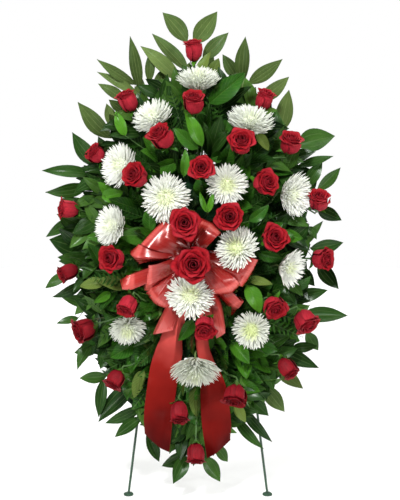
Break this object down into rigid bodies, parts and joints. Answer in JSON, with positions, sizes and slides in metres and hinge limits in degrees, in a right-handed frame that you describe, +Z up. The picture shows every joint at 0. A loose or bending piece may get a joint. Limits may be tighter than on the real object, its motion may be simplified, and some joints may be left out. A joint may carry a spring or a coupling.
{
  "type": "standing funeral arrangement",
  "caption": "Oval funeral spray of red roses, white spider mums, dark leaves and a red satin bow, in caged foam on a folding wire easel.",
  "frame": {"origin": "floor level, at the middle of the footprint of the whole arrangement", "axes": "+Z up, +X to the right seen from the front, the flowers face -Y and the rear leg stands at +Y"},
  "size_m": [0.736, 0.6391, 1.1573],
  "materials": {
    "easel_paint": "satin",
    "cage_plastic": "satin",
    "foam": "matte",
    "ribbon_satin": "satin",
    "leaves": "satin",
    "rose_petals": "matte",
    "mum_petals": "matte"
  },
  "bodies": {
    "arrangement": {"easel_left_leg": "easel_paint", "easel_right_leg": "easel_paint", "easel_pivot_bar": "easel_paint", "easel_stop_bar": "easel_paint", "easel_upper_bar": "easel_paint", "easel_ledge": "easel_paint", "foam_cage": "cage_plastic", "foam_block": "foam", "bow_ribbon": "ribbon_satin", "leaf_fan_top": "leaves", "leaf_fan_upper_left": "leaves", "leaf_fan_upper_right": "leaves", "leaf_fan_lower_left": "leaves", "leaf_fan_lower_right": "leaves", "leaf_fan_bottom": "leaves", "rose_01": "rose_petals", "rose_02": "rose_petals", "rose_03": "rose_petals", "rose_04": "rose_petals", "rose_05": "rose_petals", "rose_06": "rose_petals", "rose_07": "rose_petals", "rose_08": "rose_petals", "rose_09": "rose_petals", "rose_10": "rose_petals", "rose_11": "rose_petals", "rose_12": "rose_petals", "rose_13": "rose_petals", "rose_14": "rose_petals", "rose_15": "rose_petals", "rose_16": "rose_petals", "rose_17": "rose_petals", "rose_18": "rose_petals", "rose_19": "rose_petals", "rose_20": "rose_petals", "rose_21": "rose_petals", "rose_22": "rose_petals", "rose_23": "rose_petals", "rose_24": "rose_petals", "rose_25": "rose_petals", "rose_26": "rose_petals", "rose_27": "rose_petals", "rose_28": "rose_petals", "rose_29": "rose_petals", "rose_30": "rose_petals", "mum_01": "mum_petals", "mum_02": "mum_petals", "mum_03": "mum_petals", "mum_04": "mum_petals", "mum_05": "mum_petals", "mum_06": "mum_petals", "mum_07": "mum_petals", "mum_08": "mum_petals", "mum_09": "mum_petals", "mum_10": "mum_petals", "mum_11": "mum_petals", "mum_12": "mum_petals", "mum_13": "mum_petals", "mum_14": "mum_petals"},
    "rear_leg": {"easel_rear_leg": "easel_paint"}
  },
  "joints": [
    {"name": "rear_leg_fold", "type": "hinge", "parent": "arrangement", "child": "rear_leg", "pos_m": [0.008, 0.04441, 0.95369], "axis": [1, 0, 0], "range_deg": [-27, 0]}
  ]
}
